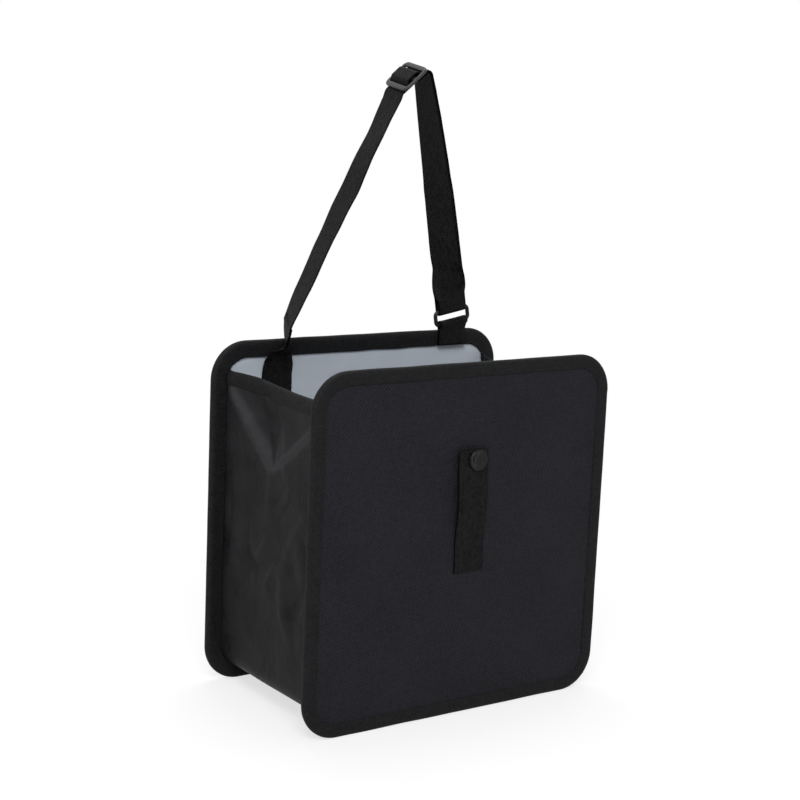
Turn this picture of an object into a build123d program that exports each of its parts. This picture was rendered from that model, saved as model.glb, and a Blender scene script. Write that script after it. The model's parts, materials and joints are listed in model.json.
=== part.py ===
from build123d import *
import os
from math import asin, atan2, cos, degrees, hypot, radians, sin, tan

os.makedirs("parts", exist_ok=True)

# Panels: two stiff square boards, covered and bound
panel_width = 250.0
panel_height = 250.0
panel_corner = 27.0
depth = 140.0
board_thick = 2.0
cover_thick = 0.5
lining_thick = 0.3

# Binding tape, folded over every raw edge
tape_thick = 0.8
binding_leg = 12.0
binding_bevel = 1.3

# Gusset: the soft sides and bottom, with one fold in each side
gusset_thick = 0.5
gusset_lining_thick = 0.3
mouth_drop = 20.0
hem_height = 10.0
fold_drop = 59.0
fold_in = 7.0
fold_flat = 48.0

# Webbing, used for the strap and both tabs
webbing_width = 25.0
webbing_thick = 1.3

# Front tab and its snap
tab_offset = 3.0
tab_bottom = 103.0
tab_length = 87.0
tab_sewn = 18.0
tab_flat = 22.0
tab_ease = 60.0
snap_below_top = 7.0
snap_offset = 3.0
cap_diameter = 15.0
cap_rim = 1.5
cap_height = 2.4
cap_dish = 0.9
cap_slope = 1.8
cap_bevel = 0.8
socket_diameter = 11.5
socket_height = 2.0
stud_diameter = 10.5
stud_base = 0.8
knob_diameter = 5.0
knob_height = 1.6
post_diameter = 9.0
post_flange = 0.6
rivet_diameter = 3.0
rivet_reach = 0.8

# Strap: sewn tail, twisted run up to the slider, peak, twisted double run down to the ring
strap_from_side = 52.5
tail_length = 63.0
tail_ramp = 14.0
twist_length = 24.0
left_heading = 63.2
left_straight = 179.5
bow_radius = 18.0
slider_slope = 44.0
peak_radius = 2.6
layer_gap = 0.2
run_sections = 5

# Slider: a flat frame with a centre bar
slider_length = 24.0
side_bar = 2.5
slider_thick = 2.6
end_bar = 4.0
centre_bar = 3.5
slider_corner = 4.5
slider_bevel = 0.7
slot_spare = 0.5
loop_round = 0.9

# Ring: a rectangle of eight-sided bar, leaning with the strap
ring_from_side = 44.5
ring_above = 6.0
ring_lean = 10.0
ring_spare = 1.0
ring_inner_height = 7.2
ring_thick = 3.0
ring_corner = 1.5

# Clearances
play = 0.05
edge_play = 0.3
fit = 0.15

# Layers of a panel, counted from its outer face inwards
cover_start = tape_thick
board_start = cover_start + cover_thick
lining_start = board_start + board_thick
lining_face = lining_start + lining_thick
inner_flange = lining_face + play
outer_flange = inner_flange + gusset_lining_thick + play
inner_leg = outer_flange + gusset_thick + play
panel_thick = inner_leg + tape_thick
layer_inset = tape_thick + edge_play
wall_inset = binding_leg + edge_play

# The snap stands proud of the front, and the whole depth is centred on the origin
tab_stand = stud_base + play + socket_height
cap_seat = tab_stand + webbing_thick + play
snap_proud = cap_seat + cap_height - tape_thick
back_face = (depth + snap_proud) / 2
front_face = back_face - depth

# Each panel's plane lies on its outer face and points into the bin
front_plane = Plane(origin=(0, front_face, panel_height / 2), x_dir=(1, 0, 0), z_dir=(0, 1, 0))
back_plane = Plane(origin=(0, back_face, panel_height / 2), x_dir=(1, 0, 0), z_dir=(0, -1, 0))


def outline(inset):
    """Panel outline moved inwards, drawn in the open sketch."""
    RectangleRounded(panel_width - 2 * inset, panel_height - 2 * inset, panel_corner - inset)


def binding(plane):
    """Tape folded round a panel's edge: a closed ring of channel section."""
    with BuildPart() as tape:
        with BuildSketch(plane):
            outline(0)
        extrude(amount=panel_thick)
        rims = tape.faces().filter_by(Axis.Y).edges()
        chamfer(rims, binding_bevel)
        with BuildSketch(plane.offset(tape_thick)):
            outline(tape_thick)
        extrude(amount=inner_leg - tape_thick, mode=Mode.SUBTRACT)
        with BuildSketch(plane):
            outline(binding_leg)
        extrude(amount=panel_thick, mode=Mode.SUBTRACT)
    return tape.part


# Snap geometry on the front panel, measured outwards from the cover
cover_face = front_face + tape_thick
tab_top = tab_bottom + tab_length
snap_x = tab_offset + snap_offset
snap_z = tab_top - snap_below_top
snap_axis = Axis((snap_x, cover_face, snap_z), (0, -1, 0))
snap_plane = Plane(origin=(snap_x, cover_face, snap_z), x_dir=(1, 0, 0), z_dir=(0, -1, 0))
snap_section = Plane(origin=(snap_x, cover_face, snap_z), x_dir=(1, 0, 0), z_dir=(0, 0, -1))
rivet_hole = rivet_diameter + 2 * fit

# Front board, with a shallow pocket for the flange of the snap's post
with BuildPart() as front_board:
    with BuildSketch(front_plane.offset(board_start)):
        outline(layer_inset)
    extrude(amount=board_thick)
    with BuildSketch(snap_plane.offset(-cover_thick)):
        Circle(post_diameter / 2 + edge_play)
    extrude(amount=-(post_flange + play), mode=Mode.SUBTRACT)
front_board.part.label = "front_board"
export_step(front_board.part, "parts/front_board.step")

# Front cover, pierced for the snap's post
with BuildPart() as front_cover:
    with BuildSketch(front_plane.offset(cover_start)):
        outline(layer_inset)
    extrude(amount=cover_thick)
    with BuildSketch(snap_plane):
        Circle(rivet_hole / 2)
    extrude(amount=-cover_thick, mode=Mode.SUBTRACT)
front_cover.part.label = "front_cover"
export_step(front_cover.part, "parts/front_cover.step")

with BuildPart() as front_lining:
    with BuildSketch(front_plane.offset(lining_start)):
        outline(layer_inset)
    extrude(amount=lining_thick)
front_lining.part.label = "front_lining"
export_step(front_lining.part, "parts/front_lining.step")

with BuildPart() as front_binding:
    add(binding(front_plane))
front_binding.part.label = "front_binding"
export_step(front_binding.part, "parts/front_binding.step")

# Back panel: the same layers, not pierced
with BuildPart() as back_board:
    with BuildSketch(back_plane.offset(board_start)):
        outline(layer_inset)
    extrude(amount=board_thick)
back_board.part.label = "back_board"
export_step(back_board.part, "parts/back_board.step")

with BuildPart() as back_cover:
    with BuildSketch(back_plane.offset(cover_start)):
        outline(layer_inset)
    extrude(amount=cover_thick)
back_cover.part.label = "back_cover"
export_step(back_cover.part, "parts/back_cover.step")

with BuildPart() as back_lining:
    with BuildSketch(back_plane.offset(lining_start)):
        outline(layer_inset)
    extrude(amount=lining_thick)
back_lining.part.label = "back_lining"
export_step(back_lining.part, "parts/back_lining.step")

with BuildPart() as back_binding:
    add(binding(back_plane))
back_binding.part.label = "back_binding"
export_step(back_binding.part, "parts/back_binding.step")

# The gusset's top edge lies under the hem's tape
mouth_top = panel_height - mouth_drop
cloth_top = mouth_top - tape_thick - play
fold_bottom = mouth_top - fold_drop
fold_shoulder = mouth_top - hem_height
fold_front = front_face + outer_flange
fold_back = back_face - outer_flange
fold_middle = (fold_front + fold_back) / 2


def fold_line(wall_x):
    """Plan of the creased fold along the left wall, from front to back."""
    return [
        (wall_x, fold_front),
        (wall_x + fold_in, fold_middle - fold_flat / 2),
        (wall_x + fold_in, fold_middle + fold_flat / 2),
        (wall_x, fold_back),
    ]


def fold_profile(wall_x):
    """Area that the fold takes from the bin, open to the outside."""
    outside = wall_x - 2 * fold_in
    with BuildSketch(Plane.XY.offset(fold_shoulder)) as profile:
        with BuildLine():
            Polyline(*fold_line(wall_x), (outside, fold_back), (outside, fold_front), close=True)
        make_face()
    return profile.sketch


def bin_volume(inset, start, top):
    """Space inside the bin at some inset: panel outline through the depth, less both side folds."""
    wall_x = inset - panel_width / 2
    shoulder = fold_profile(wall_x)
    apex = Vertex(wall_x, fold_middle, fold_bottom)
    with BuildPart() as space:
        with BuildSketch(front_plane.offset(start)):
            outline(inset)
        extrude(amount=depth - 2 * start)
        split(bisect_by=Plane.XY.offset(top), keep=Keep.BOTTOM)
        upper_fold = extrude(shoulder, amount=hem_height, mode=Mode.PRIVATE)
        lower_fold = loft([shoulder, apex], mode=Mode.PRIVATE)
        for fold in (upper_fold, lower_fold):
            add(fold, mode=Mode.SUBTRACT)
            mirror(fold, about=Plane.YZ, mode=Mode.SUBTRACT)
    return space.part


def flange(plane, start, thickness):
    """Turned-out edge of the gusset, caught under the binding; it stops at the mouth."""
    with BuildPart() as strip:
        with BuildSketch(plane.offset(start)):
            outline(layer_inset)
        extrude(amount=thickness)
        split(bisect_by=Plane.XY.offset(cloth_top), keep=Keep.BOTTOM)
    return strip.part


def channel(inset, thickness, start):
    """Thin U of cloth: walls and bottom of the bin with a flange at both panels."""
    with BuildPart() as cloth:
        add(bin_volume(inset, start, cloth_top))
        add(flange(front_plane, start, thickness))
        add(flange(back_plane, start, thickness))
        add(bin_volume(inset + thickness, start - play, cloth_top + play), mode=Mode.SUBTRACT)
    return cloth.part


with BuildPart() as gusset:
    add(channel(wall_inset, gusset_thick, outer_flange))
gusset.part.label = "gusset"
export_step(gusset.part, "parts/gusset.step")

lining_inset = wall_inset + gusset_thick + play
with BuildPart() as gusset_lining:
    add(channel(lining_inset, gusset_lining_thick, inner_flange))
gusset_lining.part.label = "gusset_lining"
export_step(gusset_lining.part, "parts/gusset_lining.step")

# Hems: tape bound over the top edge of both cloths, following the fold and the panels' round corners
cloth_inner = lining_inset + gusset_lining_thick


def hem_band(outer_inset, inner_inset, top):
    """Band along the left wall between two insets, ending just clear of both panels."""
    with BuildPart() as band:
        add(bin_volume(outer_inset, panel_thick + edge_play, top))
        add(bin_volume(inner_inset, panel_thick, top + play), mode=Mode.SUBTRACT)
        split(bisect_by=Plane.XY.offset(fold_shoulder), keep=Keep.TOP)
        split(bisect_by=Plane.YZ, keep=Keep.BOTTOM)
    return band.part


with BuildPart() as left_hem:
    add(hem_band(wall_inset - play - tape_thick, cloth_inner + play + tape_thick, mouth_top))
    add(hem_band(wall_inset - play, cloth_inner + play, mouth_top - tape_thick), mode=Mode.SUBTRACT)
left_hem.part.label = "left_hem"
export_step(left_hem.part, "parts/left_hem.step")

with BuildPart() as right_hem:
    mirror(left_hem.part, about=Plane.YZ)
right_hem.part.label = "right_hem"
export_step(right_hem.part, "parts/right_hem.step")

# Snap on the panel: a post riveted through the cover into the stud
rivet_radius = rivet_diameter / 2
bore_top = rivet_reach + play
stud_top = stud_base + knob_height
knob_neck = knob_diameter / 2 - 2 * fit
knob_radius = knob_diameter / 2
post_bottom = -cover_thick - post_flange
with BuildPart() as snap_post:
    with BuildSketch(snap_section):
        with BuildLine():
            Polyline(
                (0, post_bottom),
                (post_diameter / 2, post_bottom),
                (post_diameter / 2, -cover_thick),
                (rivet_radius, -cover_thick),
                (rivet_radius, rivet_reach),
                (0, rivet_reach),
                close=True,
            )
        make_face()
    revolve(axis=snap_axis)
snap_post.part.label = "snap_post"
export_step(snap_post.part, "parts/snap_post.step")

with BuildPart() as snap_stud:
    with BuildSketch(snap_section):
        with BuildLine():
            Polyline(
                (0, bore_top),
                (rivet_hole / 2, bore_top),
                (rivet_hole / 2, 0),
                (stud_diameter / 2, 0),
                (stud_diameter / 2, stud_base),
                (knob_neck, stud_base),
                (knob_radius, stud_base + knob_height / 2),
                (knob_radius, stud_top - edge_play),
                (knob_radius - edge_play, stud_top),
                (0, stud_top),
                close=True,
            )
        make_face()
    revolve(axis=snap_axis)
snap_stud.part.label = "snap_stud"
export_step(snap_stud.part, "parts/snap_stud.step")

# Snap on the tab: a socket that grips the stud's knob, and a dished cap
socket_bottom = stud_base + play
recess_top = stud_top + play
with BuildPart() as snap_socket:
    with BuildSketch(snap_section):
        with BuildLine():
            Polyline(
                (rivet_hole / 2, recess_top),
                (knob_radius + fit, recess_top),
                (knob_radius + fit, socket_bottom),
                (socket_diameter / 2, socket_bottom),
                (socket_diameter / 2, tab_stand),
                (rivet_hole / 2, tab_stand),
                close=True,
            )
        make_face()
    revolve(axis=snap_axis)
snap_socket.part.label = "snap_socket"
export_step(snap_socket.part, "parts/snap_socket.step")

cap_radius = cap_diameter / 2
cap_top = cap_seat + cap_height
dish_radius = cap_radius - cap_rim
with BuildPart() as snap_cap:
    with BuildSketch(snap_section):
        with BuildLine():
            Polyline(
                (0, cap_top - cap_dish),
                (dish_radius - cap_slope, cap_top - cap_dish),
                (dish_radius, cap_top),
                (cap_radius - cap_bevel, cap_top),
                (cap_radius, cap_top - cap_bevel),
                (cap_radius, cap_seat),
                (rivet_radius, cap_seat),
                (rivet_radius, recess_top),
                (0, recess_top),
                close=True,
            )
        make_face()
    revolve(axis=snap_axis)
snap_cap.part.label = "snap_cap"
export_step(snap_cap.part, "parts/snap_cap.step")

# Front tab: sewn flat at its lower end, easing out to the height of the closed snap
tab_plane = Plane(origin=(tab_offset, cover_face, 0), x_dir=(0, -1, 0), z_dir=(-1, 0, 0))
with BuildPart() as front_tab:
    with BuildSketch(tab_plane):
        with BuildLine():
            FilletPolyline(
                (webbing_thick / 2, tab_bottom),
                (webbing_thick / 2, tab_bottom + tab_sewn),
                (tab_stand + webbing_thick / 2, tab_top - tab_flat),
                (tab_stand + webbing_thick / 2, tab_top),
                radius=tab_ease,
            )
        trace(line_width=webbing_thick)
    extrude(amount=webbing_width / 2, both=True)
    with BuildSketch(snap_plane.offset(tab_stand)):
        Circle(rivet_hole / 2)
    extrude(amount=webbing_thick, mode=Mode.SUBTRACT)
front_tab.part.label = "front_tab"
export_step(front_tab.part, "parts/front_tab.step")

# Ring frame: the lower bar lies in the tab's loop just above the back panel
back_inner = back_face - panel_thick
ring_across = panel_width / 2 - ring_from_side
lean = radians(ring_lean)
ring_bar = Vector(cos(lean), 0, sin(lean))
ring_up = Vector(-sin(lean), 0, cos(lean))
ring_low = Vector(ring_across, back_inner - webbing_thick, panel_height + ring_above)
ring_pitch = ring_inner_height + ring_thick
ring_high = ring_low + ring_up * ring_pitch
ring_plane = Plane(origin=ring_low, x_dir=ring_bar, z_dir=(0, -1, 0))
bar_radius = ring_thick / 2 / cos(radians(22.5))
ring_bevel = ring_thick / 2 * (1 - tan(radians(22.5)))
loop_inner = bar_radius + fit
loop_outer = loop_inner + webbing_thick
ring_inner_width = webbing_width + 2 * ring_spare

with BuildPart() as strap_ring:
    with BuildSketch(ring_plane):
        with Locations((0, ring_pitch / 2)):
            RectangleRounded(
                ring_inner_width + 2 * ring_thick, ring_inner_height + 2 * ring_thick, ring_corner + ring_thick
            )
            RectangleRounded(ring_inner_width, ring_inner_height, ring_corner, mode=Mode.SUBTRACT)
    extrude(amount=ring_thick / 2, both=True)
    rims = strap_ring.faces().sort_by(Axis.Y)
    chamfer(rims[0].edges() + rims[-1].edges(), ring_bevel)
strap_ring.part.label = "strap_ring"
export_step(strap_ring.part, "parts/strap_ring.step")

# Ring tab: webbing folded round the lower bar and sewn down over the binding
tab_stem = ring_above + binding_leg
with BuildPart() as ring_tab:
    with BuildSketch(Plane(origin=ring_low, x_dir=(0, -1, 0), z_dir=(-1, 0, 0))):
        Circle(loop_outer)
        with Locations((0, -tab_stem / 2)):
            Rectangle(2 * webbing_thick, tab_stem)
        Circle(loop_inner, mode=Mode.SUBTRACT)
    extrude(amount=webbing_width / 2, both=True, dir=ring_bar)
ring_tab.part.label = "ring_tab"
export_step(ring_tab.part, "parts/ring_tab.step")

# Strap's left run: up from its sewn tail, then bowed over towards the slider
strap_across = strap_from_side - panel_width / 2
tail_plane = Plane(origin=(strap_across, back_inner, 0), x_dir=(0, -1, 0), z_dir=(-1, 0, 0))
tail_sink = panel_thick - lining_face
leg_bottom = panel_height - binding_leg
twist_start = leg_bottom + webbing_thick
heading = radians(left_heading)
slope = radians(slider_slope)
rise = Vector(cos(heading), 0, sin(heading))
along = Vector(cos(slope), 0, sin(slope))
away = Vector(-sin(slope), 0, cos(slope))
tail_centre = Vector(strap_across, back_inner - webbing_thick / 2, twist_start)
twist_end = tail_centre + Vector(0, -webbing_width / 2, twist_length)
bow_start = twist_end + rise * left_straight
bow_chord = Vector(sin(heading) - sin(slope), 0, cos(slope) - cos(heading)) * bow_radius
bow_end = bow_start + bow_chord

# Strap's way through the slider: under the end bars, over the centre bar
strap_under = -(slider_thick / 2 + fit + webbing_thick / 2)
slider_exit = slider_length / 2 + loop_round
slider_centre = bow_end + along * slider_exit - away * strap_under
top_plane = Plane(origin=slider_centre, x_dir=along, z_dir=(0, -1, 0))
slot_length = slider_length / 2 - end_bar - centre_bar / 2
slot_width = webbing_width + 2 * slot_spare
slider_width = slot_width + 2 * side_bar
under_radius = fit + webbing_thick / 2
over_radius = fit + webbing_thick + layer_gap + webbing_thick / 2
strap_over = slider_thick / 2 + over_radius
climb = atan2(slider_thick, slot_length) + asin((under_radius + over_radius) / hypot(slider_thick, slot_length))
climb_run = (strap_over - strap_under) * cos(climb) / sin(climb)
over_bend = centre_bar / 2 + over_radius * (1 - cos(climb)) / sin(climb)
under_bend = over_bend + climb_run

with BuildPart() as strap_slider:
    with BuildSketch(Plane(origin=slider_centre, x_dir=along, z_dir=away)):
        RectangleRounded(slider_length, slider_width, slider_corner)
        with Locations((-(centre_bar + slot_length) / 2, 0), ((centre_bar + slot_length) / 2, 0)):
            Rectangle(slot_length, slot_width, mode=Mode.SUBTRACT)
    extrude(amount=slider_thick / 2, both=True)
    rims = strap_slider.faces().sort_by(Axis(slider_centre, away))
    chamfer(rims[0].edges() + rims[-1].edges(), slider_bevel)
strap_slider.part.label = "strap_slider"
export_step(strap_slider.part, "parts/strap_slider.step")

# Strap's right run: from the bend after the slider down to the ring, two layers turning a quarter
layer_pitch = webbing_thick + layer_gap
leg_offset = loop_inner + webbing_thick / 2
leg_length = 2 * loop_outer
leg_top = ring_high + ring_up * leg_length
peak = slider_centre + along * (slider_exit + peak_radius)
run_lean = atan2(ring_high.X - peak.X, peak.Z - ring_high.Z)
peak_turn = slope + radians(90) - run_lean
peak_side = Vector(slider_exit + peak_radius * sin(peak_turn), strap_under - peak_radius * (1 - cos(peak_turn)))
run_start = top_plane.from_local_coords(peak_side)
run_down = Vector(sin(run_lean), 0, -cos(run_lean))
run_out = Vector(cos(run_lean), 0, sin(run_lean))
run_top = run_start - run_out * (layer_pitch / 2)


def ease(share):
    """Smooth step from 0 to 1."""
    return share * share * (3 - 2 * share)


def left_section(share):
    """Plane of the strap's section in the left twist, whose back edge stays level with the panel."""
    turn = radians(90) * ease(share)
    ahead = (Vector(0, 0, 1) * (1 - share) + rise * share).normalized()
    across = Vector(cos(turn), sin(turn), 0)
    across = (across - ahead * across.dot(ahead)).normalized()
    middle = tail_centre + Vector(0, -sin(turn) * webbing_width / 2, twist_length * share)
    return Plane(origin=middle, x_dir=across, z_dir=ahead)


def right_section(share, side):
    """Plane of one layer's section in the right run; the layers part to pass the ring's bar."""
    turn = radians(90) * ease(share)
    ahead = (run_down * (1 - share) - ring_up * share).normalized()
    across = Vector(0, -1, 0) * cos(turn) + Vector(-ahead.Z, 0, ahead.X) * sin(turn)
    middle = run_top * (1 - share) + leg_top * share
    apart = layer_pitch / 2 + (leg_offset - layer_pitch / 2) * share**3
    return Plane(origin=middle + across.cross(ahead) * (side * apart), x_dir=across, z_dir=ahead)


with BuildPart() as hanging_strap:
    # Tail, sewn to the lining and eased up over the binding
    with BuildSketch(tail_plane):
        with BuildLine():
            FilletPolyline(
                (webbing_thick / 2 - tail_sink, panel_height - tail_length),
                (webbing_thick / 2 - tail_sink, leg_bottom - webbing_thick - tail_ramp),
                (webbing_thick / 2, leg_bottom - webbing_thick),
                (webbing_thick / 2, twist_start),
                radius=webbing_thick,
            )
        trace(line_width=webbing_thick)
    extrude(amount=webbing_width / 2, both=True)
    # Quarter turn at the panel's top edge, then the straight stretch
    for index in range(run_sections):
        with BuildSketch(left_section(index / (run_sections - 1))):
            Rectangle(webbing_width, webbing_thick)
    loft()
    with BuildSketch(left_section(1)):
        Rectangle(webbing_width, webbing_thick)
    extrude(amount=left_straight)
    # Bow, slider and peak; the second layer is looped round the slider's centre bar
    with BuildSketch(top_plane):
        with BuildLine():
            JernArc((-slider_exit, strap_under), (-1, 0), bow_radius, left_heading - slider_slope)
            weave = FilletPolyline(
                (-slider_exit, strap_under),
                (-under_bend, strap_under),
                (-over_bend, strap_over),
                (over_bend, strap_over),
                (under_bend, strap_under),
                (slider_exit, strap_under),
                radius=[under_radius, over_radius, over_radius, under_radius],
            )
            JernArc(weave @ 1, (1, 0), peak_radius, -degrees(peak_turn))
        trace(line_width=webbing_thick)
        RectangleRounded(
            centre_bar + 2 * (fit + webbing_thick),
            slider_thick + 2 * (fit + webbing_thick),
            loop_round + webbing_thick,
        )
        RectangleRounded(centre_bar + 2 * fit, slider_thick + 2 * fit, loop_round, mode=Mode.SUBTRACT)
        with BuildLine():
            back_layer = FilletPolyline(
                (0, strap_under),
                (centre_bar / 2 + webbing_thick, strap_under),
                (under_bend, strap_under - layer_pitch),
                (slider_exit, strap_under - layer_pitch),
                radius=webbing_thick,
            )
            JernArc(back_layer @ 1, (1, 0), peak_radius - layer_pitch, -degrees(peak_turn))
        trace(line_width=webbing_thick)
    extrude(amount=webbing_width / 2, both=True)
    # Both layers of the right run
    for side in (1, -1):
        for index in range(run_sections):
            with BuildSketch(right_section(index / (run_sections - 1), side)):
                Rectangle(webbing_width, webbing_thick)
        loft()
    # Turn round the ring's upper bar
    with BuildSketch(Plane(origin=ring_high, x_dir=(0, 1, 0), z_dir=ring_bar)):
        with BuildLine():
            Line((-leg_offset, leg_length), (-leg_offset, 0))
            CenterArc((0, 0), leg_offset, 180, 180)
            Line((leg_offset, 0), (leg_offset, leg_length))
        trace(line_width=webbing_thick)
    extrude(amount=webbing_width / 2, both=True)
hanging_strap.part.label = "hanging_strap"
export_step(hanging_strap.part, "parts/hanging_strap.step")
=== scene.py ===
import json
from math import atan2, cos, pi, radians, sin

import bmesh
import bpy
import numpy as np
from mathutils import Matrix, Vector, noise


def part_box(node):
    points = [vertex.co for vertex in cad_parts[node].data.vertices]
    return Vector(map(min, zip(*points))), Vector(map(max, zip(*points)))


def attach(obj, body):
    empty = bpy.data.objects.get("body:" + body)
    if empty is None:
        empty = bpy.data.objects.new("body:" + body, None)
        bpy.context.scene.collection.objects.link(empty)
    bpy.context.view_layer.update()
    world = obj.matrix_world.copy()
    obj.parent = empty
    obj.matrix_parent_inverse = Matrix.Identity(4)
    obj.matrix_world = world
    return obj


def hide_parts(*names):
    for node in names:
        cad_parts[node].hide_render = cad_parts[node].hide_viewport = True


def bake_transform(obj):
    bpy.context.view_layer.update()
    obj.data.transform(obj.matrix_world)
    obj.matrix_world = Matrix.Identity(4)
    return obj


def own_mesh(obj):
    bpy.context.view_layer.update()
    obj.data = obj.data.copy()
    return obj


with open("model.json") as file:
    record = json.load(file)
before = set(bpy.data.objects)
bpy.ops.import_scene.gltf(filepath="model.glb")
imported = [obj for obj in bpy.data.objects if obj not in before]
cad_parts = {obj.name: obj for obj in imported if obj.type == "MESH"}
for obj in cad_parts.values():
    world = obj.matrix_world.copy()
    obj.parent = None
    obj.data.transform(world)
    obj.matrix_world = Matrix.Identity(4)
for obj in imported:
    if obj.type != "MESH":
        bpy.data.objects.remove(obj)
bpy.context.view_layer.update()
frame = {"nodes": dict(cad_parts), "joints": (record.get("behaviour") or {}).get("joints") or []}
nodes = frame["nodes"]

# Panel boards
# Two flat plastic boards, die-cut with round corners, keep the front and back panels stiff.
# They are sewn in between cover and lining and don't show.
board_dark = (0.030, 0.030, 0.032)
board_light = (0.060, 0.060, 0.064)


def feed(tree, node, sources):
    """Links or sets the named inputs of a node."""
    for socket, source in sources.items():
        if isinstance(source, bpy.types.NodeSocket):
            tree.links.new(source, node.inputs[socket])
        else:
            node.inputs[socket].default_value = source


def add(tree, kind, sources=None, **settings):
    """A new shader node with its settings and inputs."""
    node = tree.nodes.new("ShaderNode" + kind)
    for name, value in settings.items():
        setattr(node, name, value)
    feed(tree, node, sources or {})
    return node


def maths(tree, operation, *terms):
    """The result of one sum on sockets and numbers."""
    return add(tree, "Math", dict(enumerate(terms)), operation=operation).outputs[0]


def clouds(tree, place, scale, detail, roughness=0.5, distortion=0.0):
    """Soft random tones."""
    texture = add(tree, "TexNoise", {"Vector": place, "Scale": scale, "Detail": detail})
    feed(tree, texture, {"Roughness": roughness, "Distortion": distortion})
    return texture.outputs["Fac"]


def tint(tree, factor, dark, light, low=0.0, high=1.0):
    """A colour that runs from dark to light as the factor runs from low to high."""
    ramp = add(tree, "ValToRGB", {"Fac": factor})
    for element, position, colour in zip(ramp.color_ramp.elements, (low, high), (dark, light)):
        element.position = position
        element.color = (*colour, 1)
    return ramp.outputs["Color"]


def relief(tree, height, depth, strength=1.0, below=None):
    """A bumped normal; below is a normal that this relief lies on."""
    bump = add(tree, "Bump", {"Height": height, "Distance": depth, "Strength": strength})
    if below is not None:
        feed(tree, bump, {"Normal": below})
    return bump.outputs["Normal"]


def new_material(name):
    """A material with its node tree and shader."""
    material = bpy.data.materials.new(name)
    material.use_nodes = True
    return material, material.node_tree, material.node_tree.nodes["Principled BSDF"]


def new_group(name, measure):
    """An empty shader group: a place and one measure go in, height and tone come out."""
    group = bpy.data.node_groups.new(name, "ShaderNodeTree")
    for label, kind in (("Place", "Vector"), (measure, "Float")):
        group.interface.new_socket(label, in_out="INPUT", socket_type="NodeSocket" + kind)
    for label in ("Height", "Tone"):
        group.interface.new_socket(label, in_out="OUTPUT", socket_type="NodeSocketFloat")
    return group, group.nodes.new("NodeGroupInput").outputs, group.nodes.new("NodeGroupOutput")


def use_group(tree, group, place, measure):
    """The outputs of a shader group at a place."""
    return add(tree, "Group", {0: place, 1: measure}, node_tree=group).outputs


def moulded_grain():
    """Shader group: a fine grain, and a tone that changes slowly."""
    tree, given, result = new_group("Moulded grain", "Scale")
    feed(tree, result, {
        "Height": clouds(tree, given["Place"], given["Scale"], 3.0),
        "Tone": clouds(tree, given["Place"], 110.0, 5.0, 0.65),
    })
    return tree


def moulded_plastic(name, dark, light, roughness, grain, depth, specular=0.5):
    """Moulded plastic or enamel with a fine grain and slightly uneven colour and gloss."""
    material, tree, shader = new_material(name)
    made = use_group(tree, grain_group, add(tree, "TexCoord").outputs["Object"], grain)
    feed(tree, shader, {
        "Base Color": tint(tree, made["Tone"], dark, light),
        "Roughness": maths(tree, "MULTIPLY_ADD", made["Tone"], 0.3, roughness - 0.15),
        "Normal": relief(tree, made["Height"], depth),
        "Specular IOR Level": specular,
    })
    return material


def paint(node, material):
    """Gives a CAD node its material."""
    node.data.materials.clear()
    node.data.materials.append(material)


grain_group = moulded_grain()
board_plastic = moulded_plastic(
    "Board plastic", board_dark, board_light, roughness=0.55, grain=2500.0, depth=0.00005
)
for side in ("front", "back"):
    paint(nodes[side + "_board"], board_plastic)

# Panel linings
# A pale grey film faces the inside of each panel and is caught under the binding.
# It lies flat on the board, with the faint ripples of a thin film that was sewn at its edge.
front_low, front_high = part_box("front_binding")
panel_width = front_high.x - front_low.x
panel_height = front_high.z - front_low.z
panel_corner = 0.027
corner_steps = 25
film_thick = 0.0003
film_ripple = 0.00012
film_pucker = 0.00005
film_dark = (0.345, 0.378, 0.420)
film_light = (0.490, 0.532, 0.585)
sheet_inset = 0.0011
sheet_hub = 0.03
pucker_pitch = 0.013
pucker_reach = 0.014
rim_points = 224
rim_rings = 34


def uneven(*place):
    """A smooth random value from -1 to 1; factors on its place set how fast it changes along it."""
    return noise.noise(Vector(place))


def walk(x, z):
    """Distance walked along a line of points."""
    return np.concatenate([[0], np.cumsum(np.hypot(np.diff(x), np.diff(z)))])


def rounded_outline(half_width, half_height, corner, steps):
    """Points round a rectangle with round corners, and the angle that each faces."""
    angles = np.radians(np.concatenate([np.linspace(q, q + 90, steps) for q in (0, 90, 180, 270)]))
    x = np.repeat([1, -1, -1, 1], steps) * (half_width - corner) + corner * np.cos(angles)
    z = np.repeat([1, 1, -1, -1], steps) * (half_height - corner) + corner * np.sin(angles)
    return x, z, angles


def panel_ring(inset, count):
    """Points evenly round a panel, moved in by an inset, with the ways that they face and the length."""
    half_width, half_height = panel_width / 2 - inset, panel_height / 2 - inset
    x, z, angles = rounded_outline(half_width, half_height, panel_corner - inset, corner_steps)
    x, z, angles = np.append(x, x[0]), np.append(z, z[0]), np.append(angles, 2 * pi)
    walked = walk(x, z)
    at = np.arange(count) / count * walked[-1]
    turn = np.interp(at, walked, angles)
    points = np.stack([np.interp(at, walked, x), np.interp(at, walked, z)], 1)
    return points, np.stack([np.cos(turn), np.sin(turn)], 1), walked[-1]


def new_object(name, data):
    """An object in the scene."""
    made = bpy.data.objects.new(name, data)
    bpy.context.scene.collection.objects.link(made)
    return made


def smooth_piece(mesh, material):
    """An object for a finished mesh, shaded smooth."""
    mesh.shade_smooth()
    mesh.materials.append(material)
    return new_object(mesh.name, mesh)


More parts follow.
